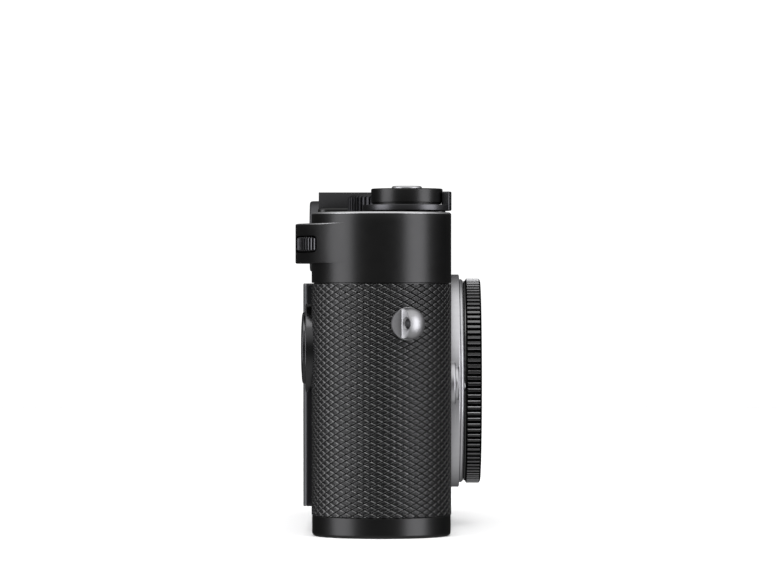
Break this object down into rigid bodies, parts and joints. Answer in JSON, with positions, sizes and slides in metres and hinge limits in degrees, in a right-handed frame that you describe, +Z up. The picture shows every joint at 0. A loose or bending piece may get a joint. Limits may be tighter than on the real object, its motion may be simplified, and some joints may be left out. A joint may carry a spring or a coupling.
{
  "type": "rangefinder camera",
  "caption": "Compact rangefinder camera with a body cap on its lens mount, top dials, a rear screen and direction pad, embossed covering and a hinged base plate.",
  "frame": {"origin": "under the middle of the whole camera, on the surface it stands on", "axes": "+X from the shutter-release end to the viewfinder end, the lens mount faces -Y, +Z up"},
  "size_m": [0.1444, 0.0436, 0.0804],
  "materials": {
    "casting": "matt cast",
    "leather": "embossed, satin",
    "black_paint": "satin",
    "matt_black": "matt",
    "black_metal": "black anodised",
    "silver": "satin",
    "steel": "satin",
    "blade": "blackened",
    "sensor": "coated",
    "board": "solder mask",
    "battery_case": "matt",
    "card_case": "matt",
    "glass": "coated",
    "screen": "gloss",
    "cover_glass": "gloss",
    "gold": "plated",
    "black_plastic": "matt"
  },
  "bodies": {
    "camera_body": {"body_casting": "casting", "leather_covering": "leather", "top_plate": "black_paint", "tripod_socket": "steel", "base_hook": "steel", "mount_ring": "silver", "bayonet_flange": "silver", "throat_baffle": "matt_black", "release_guard": "silver", "shutter_box": "matt_black", "image_sensor": "sensor", "sensor_plate": "steel", "main_board": "board", "battery": "battery_case", "memory_card": "card_case", "shutter_motor": "steel", "viewfinder_block": "glass", "rangefinder_prism": "glass", "viewfinder_glass": "glass", "rangefinder_glass": "glass", "light_sensor_glass": "glass", "eyepiece_ring": "black_metal", "eyepiece_lens": "glass", "release_tower": "black_paint", "accessory_shoe": "matt_black", "shoe_contact": "gold", "thumb_wheel_axle": "steel", "display_frame": "black_metal", "display_screen": "screen", "display_glass": "cover_glass", "dpad_bezel": "black_metal", "strap_lug_left": "silver", "strap_lug_right": "silver"},
    "base_plate": {"base_plate": "black_paint"},
    "lock_knob": {"lock_knob": "black_metal"},
    "lock_key": {"lock_key": "steel"},
    "shutter_button": {"shutter_button": "silver"},
    "power_switch": {"power_switch": "black_paint"},
    "speed_dial": {"speed_dial": "black_metal"},
    "iso_spindle": {"iso_spindle": "steel"},
    "iso_dial": {"iso_dial": "black_metal"},
    "thumb_wheel": {"thumb_wheel": "black_metal"},
    "frame_lever": {"frame_lever": "black_metal"},
    "lens_release": {"lens_release": "silver"},
    "body_cap": {"body_cap": "black_plastic"},
    "dpad_pivot": {"dpad_pivot": "steel"},
    "dpad_rocker": {"dpad_rocker": "black_plastic"},
    "dpad_button": {"dpad_button": "black_plastic"},
    "rear_button_top": {"rear_button_top": "black_plastic"},
    "rear_button_middle": {"rear_button_middle": "black_plastic"},
    "rear_button_bottom": {"rear_button_bottom": "black_plastic"},
    "shutter_blade_1": {"shutter_blade_1": "blade"},
    "shutter_blade_2": {"shutter_blade_2": "blade"},
    "shutter_blade_3": {"shutter_blade_3": "blade"},
    "rangefinder_arm": {"rangefinder_arm": "steel"},
    "rangefinder_roller": {"rangefinder_roller": "gold"}
  },
  "joints": [
    {"name": "shutter_button_press", "type": "slide", "parent": "camera_body", "child": "shutter_button", "axis": [0, 0, -1], "range_m": [0, 0.0012], "stiffness_N_per_m": 900, "springref_m": -0.0008},
    {"name": "power_switch_turn", "type": "hinge", "parent": "camera_body", "child": "power_switch", "pos_m": [-0.0505, -0.00392, 0.0753], "axis": [0, 0, 1], "range_deg": [0, 35]},
    {"name": "speed_dial_turn", "type": "hinge", "parent": "camera_body", "child": "speed_dial", "pos_m": [-0.0275, -0.00042, 0.0765], "axis": [0, 0, 1], "continuous": true},
    {"name": "iso_dial_lift", "type": "slide", "parent": "camera_body", "child": "iso_spindle", "axis": [0, 0, 1], "range_m": [0, 0.002]},
    {"name": "iso_dial_turn", "type": "hinge", "parent": "iso_spindle", "child": "iso_dial", "pos_m": [0.057, -0.00007, 0.078], "axis": [0, 0, 1], "continuous": true},
    {"name": "thumb_wheel_turn", "type": "hinge", "parent": "camera_body", "child": "thumb_wheel", "pos_m": [-0.0534, 0.01333, 0.0669], "axis": [0, 0, 1], "continuous": true},
    {"name": "frame_lever_swing", "type": "hinge", "parent": "camera_body", "child": "frame_lever", "pos_m": [0.0335, -0.01507, 0.0485], "axis": [0, 1, 0], "range_deg": [-15, 15], "stiffness_Nm_per_rad": 0.03},
    {"name": "lens_release_press", "type": "slide", "parent": "camera_body", "child": "lens_release", "axis": [0, 1, 0], "range_m": [0, 0.001], "stiffness_N_per_m": 700, "springref_m": -0.0008},
    {"name": "body_cap_pull", "type": "slide", "parent": "camera_body", "child": "body_cap", "axis": [0, -1, 0], "range_m": [0, 0.03]},
    {"name": "dpad_tilt_updown", "type": "hinge", "parent": "camera_body", "child": "dpad_pivot", "pos_m": [-0.047, 0.01833, 0.043], "axis": [1, 0, 0], "range_deg": [-2.5, 2.5], "stiffness_Nm_per_rad": 0.4},
    {"name": "dpad_tilt_sideways", "type": "hinge", "parent": "dpad_pivot", "child": "dpad_rocker", "pos_m": [-0.047, 0.01833, 0.043], "axis": [0, 0, 1], "range_deg": [-2.5, 2.5], "stiffness_Nm_per_rad": 0.4},
    {"name": "dpad_button_press", "type": "slide", "parent": "dpad_rocker", "child": "dpad_button", "axis": [0, -1, 0], "range_m": [0, 0.0003], "stiffness_N_per_m": 2500, "springref_m": -0.0003},
    {"name": "rear_button_top_press", "type": "slide", "parent": "camera_body", "child": "rear_button_top", "axis": [0, -1, 0], "range_m": [0, 0.0005], "stiffness_N_per_m": 1800, "springref_m": -0.0004},
    {"name": "rear_button_middle_press", "type": "slide", "parent": "camera_body", "child": "rear_button_middle", "axis": [0, -1, 0], "range_m": [0, 0.0005], "stiffness_N_per_m": 1800, "springref_m": -0.0004},
    {"name": "rear_button_bottom_press", "type": "slide", "parent": "camera_body", "child": "rear_button_bottom", "axis": [0, -1, 0], "range_m": [0, 0.0005], "stiffness_N_per_m": 1800, "springref_m": -0.0004},
    {"name": "shutter_drop", "type": "slide", "parent": "camera_body", "child": "shutter_blade_1", "axis": [0, 0, -1], "range_m": [0, 0.026]},
    {"name": "shutter_drop_2", "type": "slide", "parent": "camera_body", "child": "shutter_blade_2", "axis": [0, 0, -1], "range_m": [0, 0.0175]},
    {"name": "shutter_drop_3", "type": "slide", "parent": "camera_body", "child": "shutter_blade_3", "axis": [0, 0, -1], "range_m": [0, 0.009]},
    {"name": "rangefinder_arm_swing", "type": "hinge", "parent": "camera_body", "child": "rangefinder_arm", "pos_m": [0, -0.00707, 0.0573], "axis": [1, 0, 0], "range_deg": [0, 25], "stiffness_Nm_per_rad": 0.03, "springref_deg": -17.19},
    {"name": "rangefinder_roller_spin", "type": "hinge", "parent": "rangefinder_arm", "child": "rangefinder_roller", "pos_m": [0.0027, -0.01107, 0.052], "axis": [1, 0, 0], "continuous": true},
    {"name": "base_plate_swing", "type": "hinge", "parent": "camera_body", "child": "base_plate", "pos_m": [0.0695, 0, 0.0048], "axis": [0, -1, 0], "range_deg": [0, 35]},
    {"name": "base_lock_turn", "type": "hinge", "parent": "base_plate", "child": "lock_knob", "pos_m": [-0.05, 0.00193, 0.0018], "axis": [0, 0, -1], "range_deg": [0, 180]},
    {"name": "lock_key_fold", "type": "hinge", "parent": "lock_knob", "child": "lock_key", "pos_m": [-0.05, 0.00193, 0.00095], "axis": [0, 1, 0], "range_deg": [0, 90]}
  ],
  "couplings": [
    {"joint": "shutter_drop_2", "follows": "shutter_drop", "ratio": 0.67308},
    {"joint": "shutter_drop_3", "follows": "shutter_drop", "ratio": 0.34615}
  ]
}
